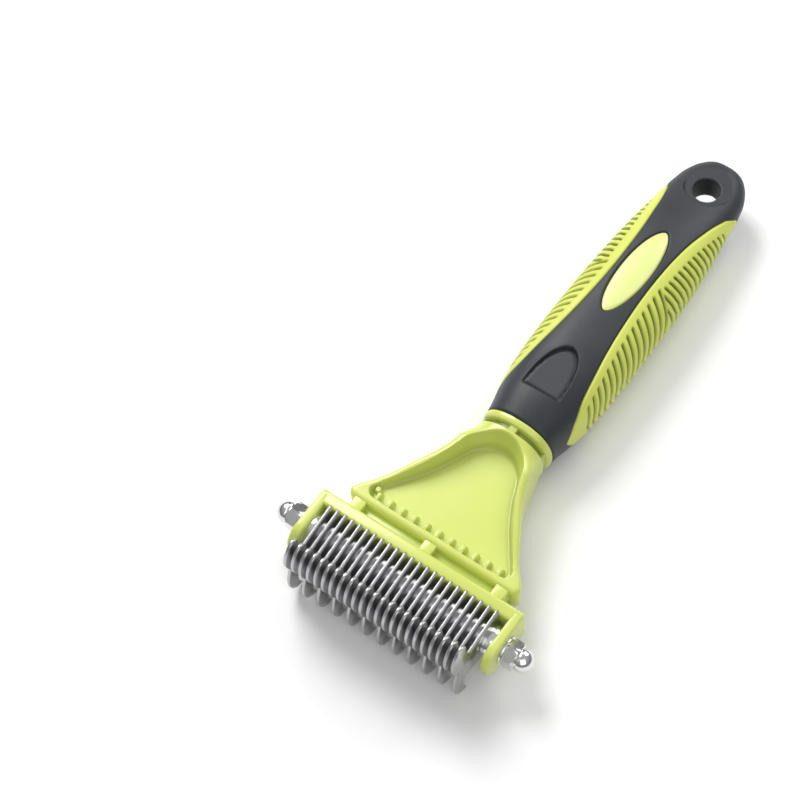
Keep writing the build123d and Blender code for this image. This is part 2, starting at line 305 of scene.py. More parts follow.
LIME_LIGHT = (0.630, 0.700, 0.165, 1)
LIME_DEEP = (0.560, 0.640, 0.090, 1)
# dark colour of the painted shade in the head's recesses and the neck groove
LIME_PAINTED_SHADE = (0.200, 0.240, 0.020, 1)
head_lime = moulded_lime("head_lime_abs", LIME_LIGHT, LIME_DEEP, LIME_PAINTED_SHADE, 0.26, 0.000022, 0.35)


def oval_height(x, half_w, half_t):
    """Half thickness of a superellipse section at x: t (1 - |x / w| ^ p) ^ (1 / p)."""
    share = np.clip(np.abs(x) / half_w, 0, 1)
    return half_t * (1 - share**SECTION_POWER) ** (1 / SECTION_POWER)


def web_half_width(y):
    """Half width of the web in plan: a quarter ellipse round the lower corner, then the flared side."""
    across, up = WEB_CORNER
    turn = np.clip((WEB_LOW_Y + up - y) / up, 0, 1)
    return smooth(np.maximum(y, WEB_SIDE_Y[0]), WEB_SIDE_Y, WEB_SIDE_X) - across * (1 - np.sqrt(1 - turn**2))


hollow_right = curve_through(HOLLOW, 90)
hollow_outline = np.concatenate([hollow_right, (hollow_right * (-1, 1))[-2:0:-1]])
corner_run = 1 - np.cos(np.linspace(0, math.pi / 2, 26))
plan_y = np.concatenate([WEB_LOW_Y + WEB_CORNER[1] * corner_run, np.linspace(17.1, NECK_Y, 90)])
plan_x = web_half_width(plan_y)
web_right = np.stack([plan_x, plan_y], -1)
web_outline = np.concatenate([web_right, (web_right * (-1, 1))[::-1]])


def web_height(x, y):
    """Half thickness of the web at (x, y): a bead rounded over at the outline, whose height follows
    RIM_Z up the web and turns into the oval of the neck, cut down to the floor inside the hollow by
    a steep wall with a concave foot that widens at the neck."""
    deep_in = inside_by(x, y, web_outline)
    crest = smooth(y, RIM_Y, RIM_Z)
    edge_round = RIM_ROUND + 0.9 * ease(y, 30, 44)
    edge = np.clip(edge_round - np.maximum(deep_in, 0), 0, edge_round)
    bead = crest - edge_round + np.sqrt(edge_round**2 - edge**2)
    oval = oval_height(x, smooth(y, WEB_SIDE_Y, WEB_SIDE_X) + 0.02, crest)
    to_neck = ease(y, 46.5, 55.2)
    within = inside_by(x, y, hollow_outline)
    foot = 0.8 + 1.2 * ease(y, 46, 51.5)
    wall_slope = 6.0 - 3.0 * ease(y, 44, 51)
    inner = np.clip(foot - np.maximum(within, 0), 0, foot)
    cut = FLOOR_Z + foot - np.sqrt(foot**2 - inner**2) + np.maximum(-within, 0) * wall_slope
    return soft_min(bead * (1 - to_neck) + oval * to_neck, cut, 1.1), within


GUSSET_PITCH = 4.4
GUSSET_X = 22.9
BOSS_AT = (23.4, 20.0)


def web_details(x, y, height, within):
    """Adds the row of small gussets along the lower rim and one corner boss to the sunk floor."""
    across = np.abs((x + GUSSET_PITCH / 2) % GUSSET_PITCH - GUSSET_PITCH / 2)
    gusset = (1 - ease(across, 0.55, 0.95)) * (1 - ease(np.abs(x), GUSSET_X, GUSSET_X + 0.3))
    gusset *= 1 - ease(y, 19.1, 19.8)
    boss = 1 - ease(np.hypot(x + BOSS_AT[0], y - BOSS_AT[1]), 0.9, 1.25)
    raised = FLOOR_Z + 1.9 * np.maximum(gusset, boss) * (within > -0.8)
    return np.maximum(height, np.where(raised > FLOOR_Z + 0.02, raised, 0))


web_rows = np.unique(np.concatenate([
    WEB_LOW_Y + 3.0 * (1 - np.cos(np.linspace(0, math.pi / 2, 14))), np.linspace(17.1, 19.5, 10),
    np.linspace(19.8, 54.6, 112), NECK_Y - 0.8 * np.linspace(1, 0, 6) ** 2]))
edge_steps = np.array([0, 0.08, 0.2, 0.4, 0.65, 0.95, 1.3, 1.7])
half = web_half_width(web_rows)[:, None]
inner_share = np.linspace(1, 0, 96)[None, :] * (half - edge_steps[-1])
right_x = np.concatenate([half - edge_steps[None, :-1], inner_share], 1)
web_x = np.concatenate([right_x, -right_x[:, -2::-1]], 1)
web_y = np.broadcast_to(web_rows[:, None], web_x.shape)
web_z, web_within = web_height(web_x, web_y)
web_z = web_details(web_x, web_y, web_z, web_within)
# painted shade along the wall and foot round the sunk floor of the web
web_painted_shade = ease(web_within, -0.6, 0.3) * (1 - ease(web_within, 0.3, 2.2)) * 0.30


def two_faced(x, y, z, painted_shade):
    """Closed shell from one height grid: the front and its mirror image below, joined all round at
    mid height."""
    front = np.stack([x, y, z], -1)
    wall = np.stack([x, y, np.zeros_like(z)], -1)
    ring = np.concatenate([wall[:, :1], front, wall[:, -1:], front[:, ::-1] * (1, 1, -1)], 1)
    edge_shade = np.zeros_like(painted_shade[:, :1])
    shade = np.concatenate([edge_shade, painted_shade, edge_shade, painted_shade[:, ::-1]], 1)
    first, last = ring[:1] * (1, 1, 0), ring[-1:] * (1, 1, 0)
    ring = np.concatenate([first, ring, last])
    shade = np.concatenate([shade[:1] * 0, shade, shade[-1:] * 0])
    return ring, grid_faces(ring.shape[0], ring.shape[1], True), shade


def rounded_plate(outline, x0, x1, bevel, steps=3, along=None):
    """Plate standing across X: a closed (y, z) outline carried from x0 to x1, drawn in along its
    normals by a quarter-round at both faces, bevel deep into the outline and `along` (or bevel) deep
    into the thickness; the faces are single flat polygons."""
    back = np.roll(outline, 1, axis=0)
    ahead = np.roll(outline, -1, axis=0)
    run = ahead - back
    normal = np.stack([run[:, 1], -run[:, 0]], -1) / np.linalg.norm(run, axis=1)[:, None]
    area = (outline[:, 0] * ahead[:, 1] - ahead[:, 0] * outline[:, 1]).sum()
    normal *= math.copysign(1, area)
    turn = np.linspace(0, math.pi / 2, steps + 1)
    inset = bevel * (1 - np.sin(turn))
    depth = (along or bevel) * (1 - np.cos(turn))
    inset = np.concatenate([inset, inset[::-1]])
    x = np.concatenate([x0 + depth, (x1 - depth)[::-1]])
    flat = outline[None] - inset[:, None, None] * normal[None]
    ring = np.concatenate([np.broadcast_to(x[:, None, None], flat.shape[:2] + (1,)), flat], -1)
    rows, cols = ring.shape[:2]
    faces = grid_faces(rows, cols, True)
    faces += [list(range(cols)), list(range((rows - 1) * cols, rows * cols))]
    return ring, faces, np.zeros(ring.shape[:2])


def rounded_box_outline(y0, y1, z0, z1, radius, steps=5):
    """(y, z) outline of a rectangle with quarter-round corners."""
    turn = np.linspace(0, math.pi / 2, steps)
    corner = radius * np.stack([np.cos(turn), np.sin(turn)], -1)
    spots = [((y1 - radius, z1 - radius), (1, 1), False), ((y0 + radius, z1 - radius), (-1, 1), True),
             ((y0 + radius, z0 + radius), (-1, -1), False), ((y1 - radius, z0 + radius), (1, -1), True)]
    return np.concatenate([np.array(spot) + (corner[::-1] if flip else corner) * sign
                           for spot, sign, flip in spots])


nose = np.linspace(math.pi / 2, 3 * math.pi / 2, 40)
ear_nose = np.stack([EAR_NOSE_Y + EAR_HALF_H * np.cos(nose), EAR_HALF_H * np.sin(nose)], -1)
ear_corner = np.array([(2.0, 0.0), (0.9, 0.05), (0.25, 0.3), (0.0, 0.9)])
ear_below = (BAR_BACK, -EAR_HALF_H) + ear_corner * (-1, 1)
ear_above = (BAR_BACK, EAR_HALF_H) - ear_corner[::-1]
ear_outline = np.concatenate([ear_nose, ear_below, ear_above])
BAR_UNDER_EAR = 0.03
bar_outline = rounded_box_outline(BAR_FRONT, BAR_BACK - BAR_UNDER_EAR, BAR_UNDER_EAR - EAR_HALF_H,
                                  EAR_HALF_H - BAR_UNDER_EAR, 1.0)
LINK_HALF_X = 28.0
link_outline = rounded_box_outline(BAR_BACK - 1, WEB_LOW_Y + 1.6, -1.6, 1.6, 0.5)
head_parts = [
    two_faced(web_x, web_y, web_z, web_painted_shade),
    rounded_plate(bar_outline, 1.0 - EAR_OUT, EAR_OUT - 1.0, 0.5),
    rounded_plate(ear_outline, EAR_IN, EAR_OUT, 0.8, 4),
    rounded_plate(ear_outline, -EAR_OUT, -EAR_IN, 0.8, 4),
    rounded_plate(link_outline, -LINK_HALF_X, LINK_HALF_X, 0.4),
]
for block_x in (-25.6, 0.0, 25.6):
    block = rounded_box_outline(BAR_BACK - 1, WEB_LOW_Y + 1.8, -4.4, 4.4, 0.5)
    head_parts.append(rounded_plate(block, block_x - 2.2, block_x + 2.2, 0.5))

GROOVE_MIDDLE_Y = 56.6
neck_y = np.array([54.8, 55.1, 55.4, 55.8, 56.2, 56.6, 57.0, 57.4, 57.9, 58.6])
neck_turn = np.linspace(0, 2 * math.pi, 240, endpoint=False)


def oval_point(turn, half_w, half_t):
    """(x, z) on a superellipse at the given turn."""
    c, s = np.cos(turn), np.sin(turn)
    power = 2 / SECTION_POWER
    return half_w * np.sign(c) * np.abs(c)**power, half_t * np.sign(s) * np.abs(s)**power


NECK_R = 11.4
NECK_HALF_W = 11.85
NECK_HALF_T = 10.85
GROOVE_SINK = 2.0
off_face_rib = np.abs(neck_turn % math.pi - math.pi / 2) * NECK_R
off_side_rib = np.abs((neck_turn + math.pi / 2) % math.pi - math.pi / 2) * NECK_R
rib = np.maximum(1 - ease(off_face_rib, 1.0, 1.5), 1 - ease(off_side_rib, 3.6, 4.2))
foot_y = 1 - ease(np.abs(neck_y - GROOVE_MIDDLE_Y), 0.7, 1.15)
sink = GROOVE_SINK - 1.3 * rib[None, :] - 0.2 * (1 - foot_y[:, None])
rib_x, rib_z = oval_point(neck_turn[None, :], NECK_HALF_W - sink, NECK_HALF_T - sink)
neck = np.stack([rib_x, np.broadcast_to(neck_y[:, None], rib_x.shape), rib_z], -1)
neck = np.concatenate([neck[:1] * (0, 1, 0), neck, neck[-1:] * (0, 1, 0)])
# painted shade in the neck groove, darkest between the ribs
neck_painted_shade = np.concatenate([sink[:1], sink, sink[-1:]]) / GROOVE_SINK
head_parts.append((neck, grid_faces(neck.shape[0], neck.shape[1], True), neck_painted_shade))
make_piece("head_moulding", head_parts, head_lime, "tool", ["head_frame"], 50)

# ---- handle core ----
# The hard lime core of the handle. Only its collar shows, a smooth ring between the
# ribbed neck and the grey grip; the rest is the mandrel that the grips are moulded on.

STATIONS = np.array([
    (57.6, 11.95, 10.95), (59.9, 12.25, 11.35), (62.0, 12.5, 11.8), (68.0, 13.8, 12.8),
    (76.0, 15.2, 13.2), (88.0, 16.1, 13.1), (104.0, 16.4, 12.5), (120.0, 16.1, 11.9),
    (134.0, 15.4, 11.3), (146.0, 14.4, 9.9), (156.0, 13.3, 7.7), (164.0, 12.4, 6.3),
    (170.0, 10.8, 5.4), (174.0, 8.4, 4.6), (175.7, 6.7, 3.95), (176.6, 5.0, 3.2),
    (176.95, 3.4, 2.3)])


def handle_size(y):
    """Half width and half thickness of the handle at y, smooth through STATIONS."""
    return smooth(y, STATIONS[:, 0], STATIONS[:, 1]), smooth(y, STATIONS[:, 0], STATIONS[:, 2])


collar_y = np.array([57.6, 57.65, 57.8, 58.05, 59.3, 59.72, 59.85, 59.9,
                     60.3, 64.0, 80.0, 110.0, 140.0, 150.0])
collar_in = np.array([1.2, 0.45, 0.15, 0.0, -0.12, 0.0, 0.25, 0.6, 2.8, 2.8, 2.8, 2.8, 2.8, 2.8])
core_w, core_t = handle_size(collar_y)
core_w, core_t = (core_w - collar_in)[:, None], (core_t - collar_in)[:, None]
core_x, core_z = oval_point(neck_turn[None, ::2], core_w, core_t)
core = np.stack([core_x, np.broadcast_to(collar_y[:, None], core_x.shape), core_z], -1)
core = np.concatenate([core[:1] * (0, 1, 0), core, core[-1:] * (0, 1, 0)])
core_faces = grid_faces(core.shape[0], core.shape[1], True)
make_piece("handle_collar", [(core, core_faces, 0.0)], head_lime, "tool",
           ["handle_core"], 50)

# ---- grey grip ----
# A dark grey soft rubber overmould: a waisted panel on both faces, full width at the
# collar and at the hanging hole. It has an arched thumb recess, an oval seat for the
# badge and a shallow dish round the hole. Matt, with the fine grain of an etched mould.

FACE_Y = [62.0, 66.5, 70.0, 77.0, 85.0, 92.0, 100.0, 108.0,
          116.0, 124.0, 132.0, 140.0, 147.0, 153.0, 158.0, 164.0]
FACE_X = [13.4, 13.3, 13.2, 11.7, 10.4, 9.3, 8.3, 7.6, 7.15, 7.05, 7.3, 7.9, 8.9, 9.9, 11.1, 12.6]
WINDOW = (65.4, 162.8)
WINDOW_ROUND = 4.2
HOLE_Y = 164.3
HOLE_R = 4.35
HOLE_EDGE = 0.55
DISH_Y = 165.3
DISH_R = 8.2
DISH_Z = 4.8
ARCH_BASE_Y = 71.0
ARCH_TIP_Y = 88.5
ARCH_HALF = 6.5
ARCH_Z = 12.1
BADGE_Y = 123.0
BADGE_HALF_L = 17.4
BADGE_HALF_W = 4.85
SEAT_DEPTH = 1.5


def turn_at(x, half_w):
    """Turn at which the section's outline has half width x."""
    return np.arccos(np.clip(x / half_w, 0, 1) ** (SECTION_POWER / 2))


def window_turn(y):
    """Turn from mid side to the seam between grey and lime; it closes round at both ends of the
    lime window."""
    half_w, _ = handle_size(y)
    opening = turn_at(smooth(y, FACE_Y, FACE_X), half_w)
    start = np.sqrt(np.clip((y - WINDOW[0]) / WINDOW_ROUND, 0, 1))
    end = np.sqrt(np.clip((WINDOW[1] - y) / WINDOW_ROUND, 0, 1))
    return opening * start * end


def turn_per_mm(turn, half_w, half_t):
    """How much turn makes a millimetre of outline, from the length of one short step of turn."""
    step = 0.02
    x0, z0 = oval_point(turn, half_w, half_t)
    x1, z1 = oval_point(turn + step, half_w, half_t)
    return step / np.hypot(x1 - x0, z1 - z0)


def badge_outline(half_l, half_w, count=120):
    """Plan outline of the badge: an oval whose ends are drawn to soft points."""
    turn = np.linspace(0, 2 * math.pi, count, endpoint=False)
    across = half_w * np.cos(turn) * np.abs(np.cos(turn))**0.12
    return np.stack([across, BADGE_Y + half_l * np.sin(turn)], -1)


arch_y = np.linspace(ARCH_BASE_Y, ARCH_TIP_Y, 40)
arch_x = ARCH_HALF * (1 - ((arch_y - ARCH_BASE_Y) / (ARCH_TIP_Y - ARCH_BASE_Y))**2.5) ** 0.55
arch_right = np.stack([arch_x, arch_y], -1)
arch_outline = np.concatenate([arch_right, (arch_right * (-1, 1))[-2::-1]])
badge_seat = badge_outline(BADGE_HALF_L + 0.25, BADGE_HALF_W + 0.25)


ROW_GAP = 0.04


def near_rows(*spans, kept=(0.0,)):
    """Rows gathered from several spans, dropping any nearer than ROW_GAP to another one or to a
    kept row."""
    rows = np.unique(np.concatenate(spans))
    rows = rows[np.abs(rows[:, None] - np.array(kept)[None, :]).min(1) > ROW_GAP]
    return rows[np.concatenate([[True], np.diff(rows) > ROW_GAP])]


round_in = WINDOW_ROUND * np.linspace(0, 1, 12) ** 2
hole_rows = HOLE_Y - HOLE_R * np.cos(np.linspace(0, math.pi, 33))
grip_rows = near_rows([59.95, 60.0, 60.15, 60.45], np.linspace(60.9, 65.0, 12), WINDOW[0] + round_in,
                      np.linspace(69.8, 155.8, 226), WINDOW[1] - round_in, np.linspace(156.4, 175.6, 64),
                      [175.9, 176.2, 176.45, 176.6, 176.75, 176.85, 176.93, 176.95], kept=hole_rows)
grip_rows = np.sort(np.concatenate([grip_rows, hole_rows]))
hole_rows_at = np.abs(grip_rows - HOLE_Y) <= HOLE_R + 1e-9
grip_w, grip_t = handle_size(grip_rows)
seam = window_turn(grip_rows)
hole_half = np.sqrt(np.clip(HOLE_R**2 - (grip_rows - HOLE_Y)**2, 0, None))
top_turn = turn_at(hole_half, grip_w)

seam_mm = turn_per_mm(np.maximum(seam, 0.12), grip_w, grip_t)
panel_steps = np.array([0.0, 0.08, 0.2, 0.38, 0.6])
window_steps = np.array([0.0, 0.10, 0.25, 0.5])
open_mm = np.minimum(seam / seam_mm, 1.0)
in_window = seam[:, None] - window_steps[None, ::-1] * seam_mm[:, None] * open_mm[:, None]
low_part = in_window[:, :1] * np.linspace(0, 1, 9)[None, :-1]
on_panel = seam[:, None] + panel_steps[None, 1:] * seam_mm[:, None]
rim_steps = np.array([0.5, 0.3, 0.15, 0.06, 0.0])
rim_mm = turn_per_mm(np.minimum(top_turn, 1.5), grip_w, grip_t)
on_rim = top_turn[:, None] - rim_steps[None] * rim_mm[:, None]
middle_share = np.linspace(0, 1, 38)[None, 1:-1]
middle_part = on_panel[:, -1:] + (on_rim[:, :1] - on_panel[:, -1:]) * middle_share
grip_turn = np.concatenate([low_part, in_window, on_panel, middle_part, on_rim], 1)
seam_side = (grip_turn - seam[:, None]) / seam_mm[:, None]

skin_x, skin_z = oval_point(grip_turn, grip_w[:, None], grip_t[:, None])
grip_y = np.broadcast_to(grip_rows[:, None], skin_x.shape)


def sunk_seam(side, opening):
    """Depth of the grey skin beside the seam: a small round on the panel, a drop into the window
    under the lime."""
    panel_round = 0.35 * np.clip(1 - side / 0.6, 0, 1) ** 2
    drop = 0.35 + 1.4 * ease(-side, 0, 0.3)
    return np.where(side >= 0, panel_round, drop) * opening


sink_seam = sunk_seam(seam_side, ease(seam, 0.02, 0.12)[:, None])
lip = 1.6 * (1 - np.sqrt(1 - np.clip((60.5 - grip_y) / 0.6, 0, 1) ** 2))
scale_w = 1 - (sink_seam + lip) / grip_w[:, None]
scale_t = 1 - (sink_seam + lip) / grip_t[:, None]
cover_x, cover_z = skin_x * scale_w, skin_z * scale_t

arch_in = inside_by(cover_x, grip_y, arch_outline)
arch_floor = ARCH_Z - 0.15
arch_mask = ease(arch_in, -0.35, 0.35)
arch_line = np.exp(-((arch_in - 0.35) / 0.4) ** 2) * 0.35
cover_z = cover_z * (1 - arch_mask) + np.minimum(cover_z, arch_floor - arch_line) * arch_mask
arch_lip = 0.10 * np.exp(-((arch_in + 0.75) / 0.45) ** 2) * (grip_y > ARCH_BASE_Y)
cover_z = cover_z + arch_lip * (cover_z > 0)

seat_in = inside_by(cover_x, grip_y, badge_seat)
seat_round = 0.3 * (1 - ease(-seat_in, 0, 0.6)) * (seat_in < 0)
cover_z = cover_z - SEAT_DEPTH * ease(seat_in, -0.15, 0.3) - seat_round

from_dish = np.hypot(cover_x, grip_y - DISH_Y)
dish_mask = 1 - ease(from_dish, DISH_R - 0.9, DISH_R)
cover_z = np.where(cover_z > DISH_Z, cover_z * (1 - dish_mask) + DISH_Z * dish_mask, cover_z)
from_hole = np.hypot(cover_x, grip_y - HOLE_Y) - HOLE_R
hole_round = HOLE_EDGE * (1 - np.sqrt(1 - np.clip(1 - from_hole / HOLE_EDGE, 0, 1) ** 2))
near_hole = (from_hole < HOLE_EDGE) & (from_hole > -0.2)
cover_z = cover_z - np.where(near_hole, hole_round, 0)

# painted shade along the seam to the lime, round the arch recess and in the badge seat
grip_painted_shade = np.maximum(ease(sink_seam, 0.1, 0.5), np.exp(-(arch_in / 0.5) ** 2) * 0.9)
grip_painted_shade = np.maximum(grip_painted_shade, ease(seat_in, -0.3, 0.2))
cover = np.stack([cover_x, grip_y, cover_z], -1)
half_ring = np.concatenate([cover[:, ::-1], (cover * (1, 1, -1))[:, 1:]], 1)
half_shade = np.concatenate([grip_painted_shade[:, ::-1], grip_painted_shade[:, 1:]], 1)
start_in = half_ring[:1] * (0.8, 1, 0.8)
start_point, end_point = start_in * (0, 1, 0), half_ring[-1:] * (0, 1, 0) + (0, 0.05, 0)
half_ring = np.concatenate([start_point, start_in, half_ring, end_point])
half_shade = np.concatenate([half_shade[:1], half_shade[:1], half_shade, half_shade[-1:]])
half_faces = grid_faces(half_ring.shape[0], half_ring.shape[1])
bore_top = cover[hole_rows_at][:, -1]
bore_share = np.linspace(1, -1, 9)[None, :, None]
bore = bore_top[:, None, :] * (1, 1, 0) + bore_top[:, None, :] * (0, 0, 1) * bore_share
bore_faces = grid_faces(bore.shape[0], bore.shape[1])
# painted shade inside the hanging hole, darkest half way through the bore
bore_shade = np.broadcast_to(1 - np.abs(bore_share[..., 0]) * 0.6, bore.shape[:2])
MIRROR = (-1, 1, 1)
cover_parts = [(half_ring, half_faces, half_shade), (half_ring * MIRROR, half_faces, half_shade),
               (bore, bore_faces, bore_shade), (bore * MIRROR, bore_faces, bore_shade)]


def soft_rubber(name, light, deep, painted_shade_colour, roughness, grain):
    """Thermoplastic rubber: a fine etched grain, slow clouds in the colour and gloss where hands
    polish it, and painted shade that darkens its grooves and recesses."""
    finish = Finish(name, {"IOR": 1.45, "Sheen Weight": 0.04, "Sheen Roughness": 0.4,
                           "Specular IOR Level": 0.4})
    spot = finish.place()
    cloud = finish.between(finish.noise(spot, 38, 4, 0.55), 0.3, 0.7)
    fine = finish.noise(spot, 3600, 3, 0.65)
    speck = finish.between(finish.noise(spot, 1500, 2), 0.66, 0.74)
    colour = finish.mix(cloud * 0.55, light, deep)
    colour = finish.mix(speck * 0.02, colour, (1, 1, 1, 1))
    # painted shade: the colour turns towards the dark painted shade colour in grooves and recesses
    colour = finish.mix(finish.painted_shade() * 0.9, colour, painted_shade_colour)
    level = roughness - cloud * 0.10 + fine * 0.14 + finish.painted_shade() * 0.1
    height = fine * 0.7 + finish.noise(spot, 1300, 2) * 0.3
    finish.feed({"Base Color": colour, "Roughness": level, "Normal": finish.bump(height, grain)})
    return finish.material


GREY_LIGHT = (0.034, 0.038, 0.044, 1)
GREY_DEEP = (0.023, 0.026, 0.031, 1)
# dark colour of the painted shade in the grey grip's seams, recesses and hole
GREY_PAINTED_SHADE = (0.005, 0.006, 0.007, 1)
grey_rubber = soft_rubber("grey_grip_rubber", GREY_LIGHT, GREY_DEEP, GREY_PAINTED_SHADE, 0.40, 0.00005)
make_piece("grey_grip", cover_parts, grey_rubber, "tool", ["grip_cover"], 60)

# ---- lime side grips ----
# A lens of lime rubber down each side of the handle, moulded flush into the grey. Long
# slanting grooves cross its lower half and shorter ones slant the other way above.

SIDE_GAP = 0.13
SIDE_DEPTH = 1.62
GROOVE_DEPTH = 1.15
SIDE_END = 0.25
side_rows = near_rows(WINDOW[0] + SIDE_END + round_in, np.linspace(69.9, 155.7, 330),
                      WINDOW[1] - SIDE_END - round_in)
side_w, side_t = handle_size(side_rows)
side_seam = window_turn(side_rows)
side_mm = turn_per_mm(np.maximum(side_seam, 0.12), side_w, side_t)
side_steps = np.array([0.0, 0.05, 0.14, 0.3, 0.55])
side_open = np.minimum(side_seam / side_mm / 2.2, 1.0)
side_edge = side_seam[:, None] - (SIDE_GAP + side_steps[None]) * (side_mm * side_open)[:, None]
side_middle = side_edge[:, -1:] * np.linspace(1, -1, 76)[None, 1:-1]
side_turn = np.concatenate([side_edge, side_middle, -side_edge[:, ::-1]], 1)
side_in = (side_seam[:, None] - np.abs(side_turn)) / side_mm[:, None]
side_y = np.broadcast_to(side_rows[:, None], side_turn.shape)

LONG_PITCH = 3.2
LONG_SPAN = (77.0, 124.0)
LONG_SLANT = 0.46
SHORT_PITCH = 2.5
SHORT_SPAN = (118.0, 154.0)
SHORT_SLANT = -0.06


def grooves(y, inward, pitch, span, slant, start, width):
    """Depth 0 to 1 of a row of slanting grooves: each line falls by slant for every millimetre in
    from the seam, starts a little way in, and the row fades at the ends of its span."""
    along = y + slant * inward
    across = np.abs(along % pitch - pitch / 2)
    row = ease(along, span[0], span[0] + 0.3) * (1 - ease(along, span[1] - 0.3, span[1]))
    return (1 - ease(across, width * 0.35, width)) * ease(inward, start, start + 1.2) * row


long_grooves = grooves(side_y, side_in, LONG_PITCH, LONG_SPAN, LONG_SLANT, 2.4, 0.78)
short_grooves = grooves(side_y, side_in, SHORT_PITCH, SHORT_SPAN, SHORT_SLANT, 3.4, 0.62)
above_long = ease(side_y + LONG_SLANT * side_in, LONG_SPAN[1], LONG_SPAN[1] + 0.8)
side_groove = np.maximum(long_grooves, short_grooves * above_long)
edge_round = 0.45 * np.clip(1 - (side_in - SIDE_GAP) / 0.55, 0, 1) ** 2.2
proud = 0.1 * side_open[:, None] - edge_round - GROOVE_DEPTH * side_groove
side_x, side_z = oval_point(side_turn, side_w[:, None] + proud, side_t[:, None] + proud)
under_x, under_z = oval_point(side_turn, side_w[:, None] - SIDE_DEPTH, side_t[:, None] - SIDE_DEPTH)
side_front = np.stack([side_x, side_y, side_z], -1)
side_back = np.stack([under_x, side_y, under_z], -1)
side_ring = np.concatenate([side_front, side_back[:, ::-1]], 1)
# painted shade in the slanting grooves of the side grip
side_shade = np.concatenate([side_groove, side_groove * 0], 1)
ring_middle = side_ring.mean(1, keepdims=True)
first_end = side_ring[:1] * 0 + ring_middle[:1]
last_end = side_ring[-1:] * 0 + ring_middle[-1:]
side_ring = np.concatenate([first_end, side_ring, last_end])
side_shade = np.concatenate([side_shade[:1], side_shade, side_shade[-1:]])
side_faces = grid_faces(side_ring.shape[0], side_ring.shape[1], True)
GRIP_LIGHT = (0.660, 0.720, 0.150, 1)
GRIP_DEEP = (0.550, 0.620, 0.080, 1)
# dark colour of the painted shade in the side grip grooves
GRIP_PAINTED_SHADE = (0.070, 0.085, 0.008, 1)
lime_rubber = soft_rubber("lime_grip_rubber", GRIP_LIGHT, GRIP_DEEP, GRIP_PAINTED_SHADE, 0.38, 0.00003)
make_piece("side_grip_right", [(side_ring, side_faces, side_shade)], lime_rubber, "tool",
           ["side_grip_right"], 60)
make_piece("side_grip_left", [(side_ring * MIRROR, side_faces, side_shade)], lime_rubber, "tool",
           ["side_grip_left"], 60)

# ---- badges ----
# A plain oval of pale lime plastic pressed into its seat on each face of the handle,
# gently crowned, with a fine gap all round. It carries no mark of any kind.

BADGE_CROWN = 0.4
BADGE_RIM_FROM = 0.88
badge_share = np.concatenate([np.linspace(0, BADGE_RIM_FROM, 14), [0.92, 0.955, 0.98, 0.995, 1.0]])
rim_line = badge_outline(BADGE_HALF_L, BADGE_HALF_W, 160) - (0, BADGE_Y)
badge_x = badge_share[:, None] * rim_line[None, :, 0]
badge_y = BADGE_Y + badge_share[:, None] * rim_line[None, :, 1]
badge_w, badge_t = handle_size(badge_y)
badge_skin = oval_height(badge_x, badge_w, badge_t)
rim_share = np.clip((badge_share - BADGE_RIM_FROM) / 0.12, 0, 1)
crown = BADGE_CROWN * (1 - badge_share**2) - 0.35 * rim_share**2.5
badge_top = np.stack([badge_x, badge_y, badge_skin + crown[:, None]], -1)
badge_wall = badge_top[-1:] - (0, 0, SEAT_DEPTH - 0.3)
badge_under_z = badge_wall[..., 2].min() - 0.05
badge_under = badge_wall * 0 + (0, BADGE_Y, badge_under_z)
badge = np.concatenate([badge_top, badge_wall, badge_under])
badge_faces = grid_faces(badge.shape[0], badge.shape[1], True)
BADGE_LIGHT = (0.740, 0.800, 0.300, 1)
BADGE_DEEP = (0.660, 0.730, 0.180, 1)
badge_lime = moulded_lime("badge_lime_plastic", BADGE_LIGHT, BADGE_DEEP, LIME_PAINTED_SHADE, 0.30,
                          0.000015, 0.3)
make_piece("badge_front", [(badge, badge_faces, 0.0)], badge_lime, "tool",
           ["badge_front"], 50)
make_piece("badge_back", [(badge * (1, 1, -1), badge_faces, 0.0)], badge_lime, "tool",
           ["badge_back"], 50)

# ---- axle ----
# A steel rod through both ears, every blade and every spacer, chamfered and threaded at
# the ends for the nuts. Bright drawn steel, dulled a little by handling.


def turned(profile, count=72):
    """Solid of revolution about X through the axle: (x, radius) points swept round, closed on the axis."""
    profile = np.array(profile, float)
    turn = np.linspace(0, 2 * math.pi, count, endpoint=False)
    x = np.broadcast_to(profile[:, :1], (len(profile), count))
    ring = np.stack([x, profile[:, 1:] * np.cos(turn), profile[:, 1:] * np.sin(turn)], -1)
    return ring, grid_faces(len(profile), count, True), 0.0


def worked_steel(name, bright, dark, roughness, stretch, scale, stains, line_depth):
    """Bare metal: fine lines from rolling or turning, a little cloudy stain, scattered dull specks;
    the lines are noise stretched along one axis."""
    finish = Finish(name, {"Metallic": 1.0})
    lines = finish.noise(finish.place(stretch), scale, 3, 0.6)
    spot = finish.place()
    cloud = finish.between(finish.noise(spot, 160, 4), 0.4, 0.72)
    speck = finish.between(finish.noise(spot, 900, 2), 0.68, 0.76)
    colour = finish.mix(cloud * stains + speck * 0.25, bright, dark)
    level = roughness + lines * 0.12 + cloud * 0.08 + speck * 0.2
    finish.feed({"Base Color": colour, "Roughness": level, "Normal": finish.bump(lines, line_depth)})
    return finish.material


